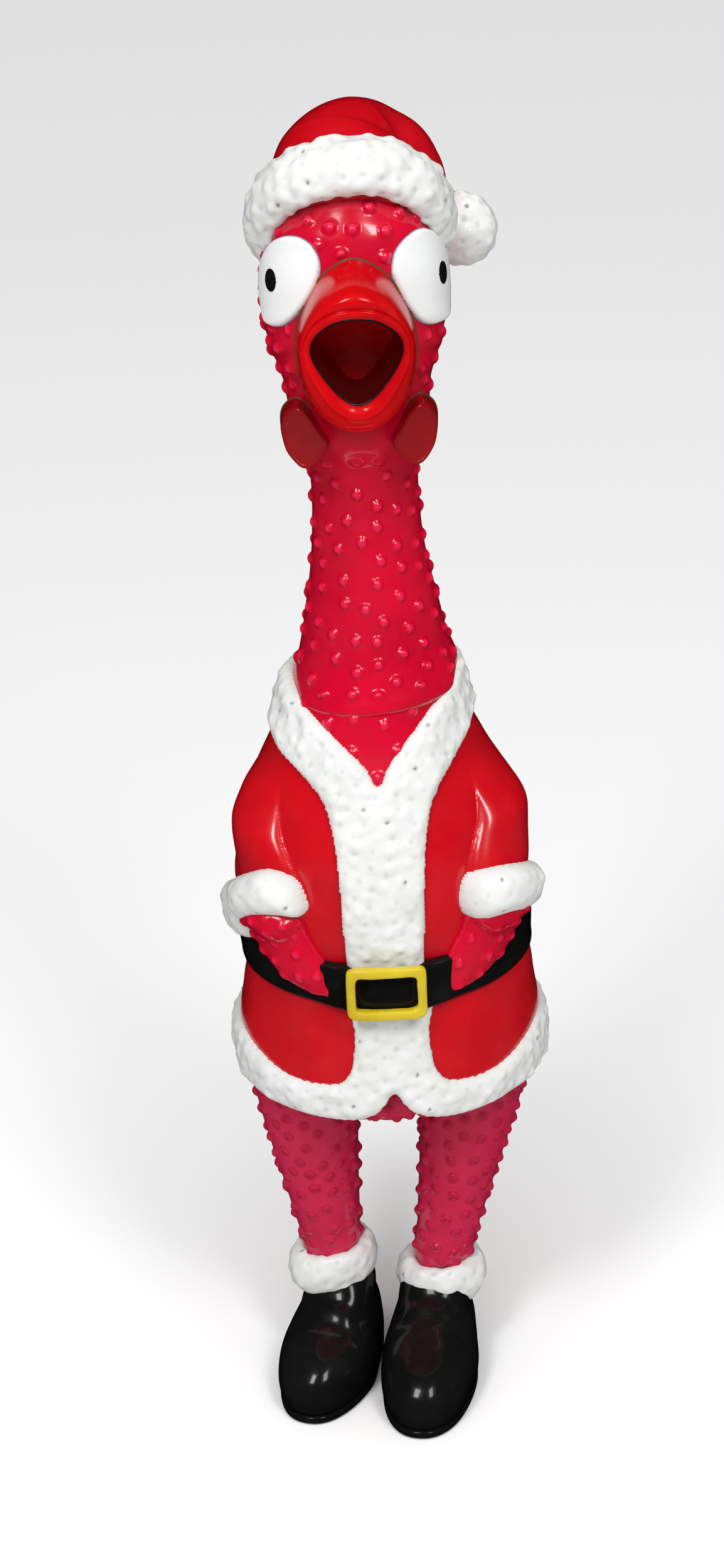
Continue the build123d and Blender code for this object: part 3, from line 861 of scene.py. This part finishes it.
def thin_line(name, path, radius, material, body="head"):
    """Fine painted line along a closed path, as a cord half sunk in the surface."""
    count, sides = len(path), 8
    forward = unit(np.roll(path, -1, axis=0) - np.roll(path, 1, axis=0))
    right = unit(np.cross(forward, np.tile([0.0, 1.0, 0.0], (count, 1))))
    upward = np.cross(right, forward)
    k = circle(sides)[None, :, None]
    points = path[:, None] + radius * (np.cos(k) * right[:, None] + np.sin(k) * upward[:, None])
    points = points.reshape(-1, 3)
    faces = facing_out(points, ring_quads(count, sides, closed=True).tolist())
    finish_piece(make_mesh(name, points, faces, material), body)


thin_line("beak_outline", at(seam, seam_y - 0.1), 0.45, OUTLINE)
# dark line round the mouth's rim: partly the airbrushed edge of the paint, partly painted shade under the
# rolled upper lip
rim = rings[int((dark_from - 0.3) * STEPS)]
thin_line("mouth_rim", rim, 0.45, DARK_LINE)

# ---- eyes ----
for side, sign in SIDES.items():
    places = EYES[side]
    grid = SKIN.grid(338, 372, *sorted((sign * 14, sign * 96)), step=0.4)
    eye = patch(f"{side}_eye_pad", SKIN, SKIN.inward(*grid[2:], places), grid, roll_edge(1.5, 1.3), EYE)
    finish_piece(eye, "head", [f"{side}_eye"])
    angle_line, up_line = SKIN.outline(places, 220)[0].T
    edge = SKIN.point(angle_line / SKIN.girth, up_line, 0.05)[0]
    thin_line(f"{side}_eye_outline", edge, 0.22, EYE_LINE)
    a, z = PUPILS[side]
    spot = [(a + 6.3 * math.cos(t), z + 3.1 * math.sin(t)) for t in np.arange(0, 6.2, math.pi / 6)]
    grid = SKIN.grid(348, 364, *sorted((a - 14, a + 14)), step=0.2)
    pupil = patch(f"{side}_pupil_spot", SKIN, SKIN.inward(*grid[2:], spot, 160), grid,
                  lambda d: 1.45 + 0.35 * np.sqrt(np.clip(d / 1.0, 0, 1)), BLACK, floor=1.2)
    finish_piece(pupil, "head", [f"{side}_pupil"])

# ---- wattles ----
WATTLE_LINE = [(17.0, 323.6), (20.5, 320.8), (21.4, 316), (20.1, 310.2), (16.6, 305.8), (13.0, 306.6),
               (8.8, 312), (11.2, 317.2), (13.8, 321.4)]
WATTLE_ROWS = [(-14.0, 0.7), (-14.6, 0.88), (-17.0, 1.0), (-21.0, 1.02), (-24.0, 1.01), (-25.5, 0.98),
               (-26.2, 0.92), (-26.2, 0.86), (-25.9, 0.8), (-25.8, 0.5), (-25.7, 0.1)]
for side, sign in SIDES.items():
    line = through([(sign * x, z) for x, z in WATTLE_LINE], 120, closed=True) + (HEAD_SHIFT, 0)
    middle = line.mean(0)
    rows_of_wattle = []
    for y, grow in WATTLE_ROWS:
        xz = middle + (line - middle) * grow
        bend = 0.02 * (xz[:, 0] * sign - 8)**2 - (xz[:, 1] - 325) * 0.10
        rows_of_wattle.append(at(xz, y + bend))
    rings = loft(rows_of_wattle, 4)
    if sign > 0:
        rings = rings[:, ::-1]
    points, faces = closed_tube(rings)
    points += 0.12 * rough(points, 4.0, 14)[:, None]
    finish_piece(make_mesh(f"{side}_wattle_skin", points, faces, WATTLE), "head",
                 [f"{side}_wattle"])
    thin_line(f"{side}_wattle_outline", rings[8], 0.35, OUTLINE)

# ---- hat ----
TILT = math.radians(50)
BRIM_CENTRE = np.array([HEAD_SHIFT, 0, 369.0])
HAT_UP = np.array([0, math.sin(TILT), math.cos(TILT)])
HAT_BACK = np.array([0, math.cos(TILT), -math.sin(TILT)])
HAT_RIGHT = np.array([1.0, 0, 0])


def hat_frame(local):
    """Points given along the hat's right, back and up axes."""
    return BRIM_CENTRE + local[..., :1] * HAT_RIGHT + local[..., 1:2] * HAT_BACK + local[..., 2:] * HAT_UP


def swept(path, radii, around):
    """Rings of changing radius along a path, carried along it without twist."""
    forward = unit(np.gradient(path, axis=0))
    u = circle(around)[:, None]
    across = HAT_RIGHT
    rings = []
    for p, f, r in zip(path, forward, radii):
        across = unit(across - f * (across @ f))
        rings.append(p + r * (np.cos(u) * across + np.sin(u) * np.cross(f, across)))
    return np.array(rings)


HAT_PATH = [(-1, -4, 365), (-1, 0, 369), (-0.8, 6, 373.4), (-0.2, 12, 377.6), (3, 17, 380.2),
            (9.5, 21.5, 379.6), (16, 24.5, 374), (20.5, 27, 368.5), (24.5, 28, 364)]
HAT_RADII = [21.5, 23.5, 23.4, 21.4, 18.2, 13.9, 10.4, 7.2, 4.4]
path = through([(*p, r) for p, r in zip(HAT_PATH, HAT_RADII)], 150)
rings = swept(path[:, :3], path[:, 3], 160)
points, faces = closed_tube(rings)
normals = normals_of(points, faces)
FOLD_WIDTH, FOLD_DEPTH = 6.0, 0.6  # the crease where the hat's tip falls over
x, _, z = points.T
fold = np.exp(-((x - 10 - 0.4 * (z - 385)) / FOLD_WIDTH)**2) * smooth_step(372, 386, z)
points += normals * (0.6 * rough(points, 18, 4) - FOLD_DEPTH * fold)[:, None]
finish_piece(make_mesh("hat_skin", points, faces, COAT), "head", ["hat_cap", "hat_tail"])


def roll(ring, across, along, seed, amount, step=0.62):
    """Furry roll: a torus about its own axis, as points in its own frame, with faces and paint."""
    count, section = int(2 * math.pi * ring / step), int(math.pi * (across + along) / step)
    u = circle(count)[:, None]
    k = circle(section)[None, :]
    r = ring + across * np.cos(k)
    points = np.stack([r * np.sin(u), -r * np.cos(u), along * np.sin(k) + 0 * u], axis=-1).reshape(-1, 3)
    along_first = ring_quads(count, section, closed=True)[:, [0, 3, 2, 1]]
    faces = facing_out(points, along_first.tolist())
    normals = normals_of(points, faces)
    points, paint = furred(points, normals, np.ones(len(points)), seed, amount)
    return points, faces, paint


points, faces, paint = roll(22.8, 6.0, 8.6, 61, 1.2)
brim = make_mesh("fur_brim", hat_frame(points), faces, FUR, paint)
finish_piece(brim, "head", ["hat_brim"])

v = np.linspace(0, math.pi, 92)[1:-1, None]
u = circle(140)[None, :]
ball = np.stack([np.sin(v) * np.cos(u), np.sin(v) * np.sin(u), -np.cos(v) + 0 * u], axis=-1)
points, faces = closed_tube(ball)
points, paint = furred(POMPOM_CENTRE - (0, 0, 1.2) + unit(points) * (POMPOM_R + 0.3), unit(points),
                       np.ones(len(points)), 71, 0.9)
finish_piece(make_mesh("fur_pompom", points, faces, FUR, paint), "pompom", ["pompom"])

# ---- legs ----
LEG_SIDE = [(9.0, -13.4), (14.4, -8.5), (15.8, 0), (15.1, 12), (13.8, 24), (12.0, 38), (10.6, 50),
            (9.6, 58), (9.3, 66), (7.0, 75)]
LEG_PIMPLES = {"spacing": 5.2, "radius": 1.85, "height": 1.25}
LEG_LENGTH = 67
# how far each leg stands off the line between its joints, at the hip and at the ankle
LEG_OFFSETS = {"left": ((-1.0, 0), (1.2, 0)), "right": ((1.6, 0), (-0.6, -2.6))}
for side, sign in SIDES.items():
    hip, ankle = PIVOT[f"{side}_leg_swing"], PIVOT[f"{side}_ankle_flex"]
    down = unit(ankle - hip)
    across = unit(np.cross(np.array([0, 1.0, 0]), down))
    frontward = np.cross(across, down)
    line = through(LEG_SIDE, 150)
    u = circle(150)[None, :, None]
    (hip_x, hip_y), (ankle_x, ankle_y) = LEG_OFFSETS[side]
    hip = hip + (hip_x, hip_y, 0)
    down = down + np.array([ankle_x - hip_x, ankle_y - hip_y, 0]) / LEG_LENGTH
    rings = (hip + line[:, 1, None, None] * down
             + line[:, 0, None, None] * (np.cos(u) * across + np.sin(u) * frontward))
    points, faces = closed_tube(rings)
    normals = normals_of(points, faces)
    points, paint = pimpled(points, normals, smooth_step(31, 35, points[:, 2]), 80 + sign, **LEG_PIMPLES)
    leg = make_mesh(f"{side}_leg_skin", points, faces, LEG_SKIN, paint)
    finish_piece(leg, f"{side}_leg", [f"{side}_leg"])

points, faces = closed_tube(ball)
CROTCH_RADII, CROTCH_CENTRE = (20, 37.5, 14.6), (0, 0, 111)
points = points * CROTCH_RADII + CROTCH_CENTRE
points, paint = pimpled(points, normals_of(points, faces), np.ones(len(points)), 90, **LEG_PIMPLES)
crotch = make_mesh("crotch_skin", points, faces, LEG_SKIN, paint)
finish_piece(crotch, "torso", ["pelvis"])

# ---- boots ----
# how each boot stands: turned by degrees, moved in X and Y, and its toe longer by millimetres
STANCE = {"left": (-19, (4.6, 0), -3.0), "right": (-10, (-2.6, -2.6), 2.8)}
FUR_PLACE = {"left": (0.8, 0, ANKLE_Z - 3), "right": (-1.2, -2.6, ANKLE_Z - 8.0)}
FUR_LEAN = {"left": 0.16, "right": 0.05}
# heights with half width, toe and heel
BOOT_LEVELS = [(SOLE_TOP_Z - 0.6, 13.0, -43.4, 18.6), (SOLE_TOP_Z + 0.2, 14.0, -45.2, 19.6),
               (SOLE_TOP_Z + 1.8, 15.0, -46.6, 20.4), (8.5, 15.5, -47.0, 20.3), (13.5, 15.1, -44.6, 18.6),
               (18.0, 13.8, -39.0, 16.0), (21.0, 12.4, -31.6, 14.0), (22.6, 11.7, -26.6, 13.2),
               (25.0, 11.5, -21.6, 12.2), (28.0, 11.3, -16.6, 11.6), (31.0, 11.2, -13.0, 11.4),
               (33.5, 10.6, -11.4, 11.2)]
SOLE_LEVELS = [(0.0, 14.2, -45.8, 19.8), (0.5, 14.9, -46.5, 20.5), (SOLE_TOP_Z - 0.5, 15.1, -46.8, 20.8),
               (SOLE_TOP_Z, 14.8, -46.4, 20.5), (SOLE_TOP_Z + 0.2, 13.6, -45.2, 19.2)]


WAIST_CUT, HEEL_CUT = 0.13, 0.32  # how much narrower a shoe is there, as a share of its width


def shoe_rings(levels, count, longer):
    """Rings of a shoe: blunt at the toe, narrower at the waist and the heel."""
    u = circle(200)
    c, s = (np.sign(w) * np.abs(w)**0.88 for w in (np.cos(u), np.sin(u)))
    rings = []
    for z, half, toe, heel in through(levels, count):
        y = (toe + heel) / 2 - (heel - toe) / 2 * c
        y -= longer * smooth_step(-5, -40, y)
        waist = WAIST_CUT * np.exp(-((y + 6) / 9)**2) * smooth_step(24, 12, z)
        heel_cut = HEEL_CUT * smooth_step(-8, 14, y)
        rings.append(np.stack([half * s * (1 - waist - heel_cut), y, np.full(len(u), z)], axis=1))
    return np.array(rings)


def stand(points, side):
    """Turns and moves a shoe to where it stands; its shaft stays about the ankle."""
    degrees, (move_x, move_y), _ = STANCE[side]
    c, s = math.cos(math.radians(degrees)), math.sin(math.radians(degrees))
    x, y, z = points.T
    shift = PIVOT[f"{side}_ankle_flex"][0] + move_x * smooth_step(38, 28, z)
    return np.stack([c * x - s * y + shift, s * x + c * y + move_y, z], axis=1)


WRINKLE_DEPTH = 0.9
for side, sign in SIDES.items():
    points, faces = closed_tube(shoe_rings(BOOT_LEVELS, 90, STANCE[side][2]))
    x, y, z = points.T
    wrinkle = np.exp(-((y + 23 - 0.3 * (z - 22)) / 2.4)**2)
    wrinkle += 0.4 * np.exp(-((y + 16 - 0.2 * (z - 26)) / 2.0)**2)
    points[:, 2] -= WRINKLE_DEPTH * wrinkle * smooth_step(15, 20, z)
    boot = make_mesh(f"{side}_boot_upper", stand(points, side), faces, BLACK)
    finish_piece(boot, f"{side}_foot", [f"{side}_boot"])
    points, faces = closed_tube(shoe_rings(SOLE_LEVELS, 16, STANCE[side][2]))
    points[:, 2] = np.maximum(points[:, 2], 0)
    sole = make_mesh(f"{side}_boot_sole", stand(points, side), faces, BLACK)
    finish_piece(sole, f"{side}_foot", [f"{side}_sole", f"{side}_heel"])
    points, faces, paint = roll(10.2, 3.9, 7.2, 95 + sign, 0.8)
    points[:, 2] += FUR_LEAN[side] * points[:, 0]
    points += np.array([PIVOT[f"{side}_ankle_flex"][0], 0, 0]) + FUR_PLACE[side]
    ring = make_mesh(f"{side}_fur_anklet", points, faces, FUR, paint)
    finish_piece(ring, f"{side}_foot", [f"{side}_boot_cuff"])

# ---- squeaker: the CAD's own pieces, with plastic ----
for node in ("squeaker_barrel", "tone_board", "reed", "reed_wedge"):
    materials = frame["nodes"][node].data.materials
    materials.clear()
    materials.append(PLASTIC)

# ---- floor, light, camera: lights and camera are placed in metres ----
floor_material = bpy.data.materials.new("floor_paint")
floor_material.use_nodes = True
floor_shader = floor_material.node_tree.nodes["Principled BSDF"]
floor_shader.inputs["Base Color"].default_value = (0.9, 0.9, 0.9, 1)
floor_shader.inputs["Roughness"].default_value = 0.9
FLOOR_CORNERS = [(x, y, -0.4) for x, y in ((-6000, -6000), (6000, -6000), (6000, 6000), (-6000, 6000))]
floor = make_mesh("floor", FLOOR_CORNERS, [(0, 1, 2, 3)], floor_material)
floor.visible_glossy = False

world = bpy.data.worlds.new("studio")
world.use_nodes = True
background = world.node_tree.nodes["Background"]
background.inputs["Color"].default_value = (1, 1, 1, 1)
background.inputs["Strength"].default_value = 0.45
bpy.context.scene.world = world
world.cycles_visibility.glossy = False
bpy.context.scene.view_settings.view_transform = "Standard"


TOY_MIDDLE = Vector((0, 0, 0.2))


def lamp(name, kind, place, power, size=None):
    """Light aimed at the middle of the toy."""
    light = bpy.data.lights.new(name, kind)
    light.energy = power
    if size:
        light.shape = "RECTANGLE"
        light.size, light.size_y = size
    obj = in_scene(name, light)
    obj.location = place
    obj.rotation_euler = (TOY_MIDDLE - Vector(place)).to_track_quat("-Z", "Y").to_euler()
    return obj


SOFTBOX = (0.20, 0.36)
lamp("key", "AREA", (-0.36, -0.70, 1.08), 4.6, SOFTBOX)
lamp("fill", "AREA", (0.34, -0.74, 1.02), 3.5, SOFTBOX)
sky = lamp("soft_sky", "SUN", (0.0, -0.8, 1.6), 1.5)
sky.data.angle = math.radians(60)
sky.visible_glossy = False

camera_data = bpy.data.cameras.new("camera")
camera_data.sensor_fit = "VERTICAL"
camera_data.sensor_height = 36
camera_data.lens = 64.8
camera = in_scene("camera", camera_data)
CAMERA_PLACE = Vector((-0.0045, -0.760, 0.548))
CAMERA_AIM = Vector((-0.0045, 0, 0.200))
CAMERA_ROLL = math.radians(-2.46)
camera.location = CAMERA_PLACE
look = (CAMERA_AIM - CAMERA_PLACE).to_track_quat("-Z", "Y").to_matrix()
camera.rotation_euler = (look @ Matrix.Rotation(CAMERA_ROLL, 3, "Z")).to_euler()
bpy.context.scene.camera = camera
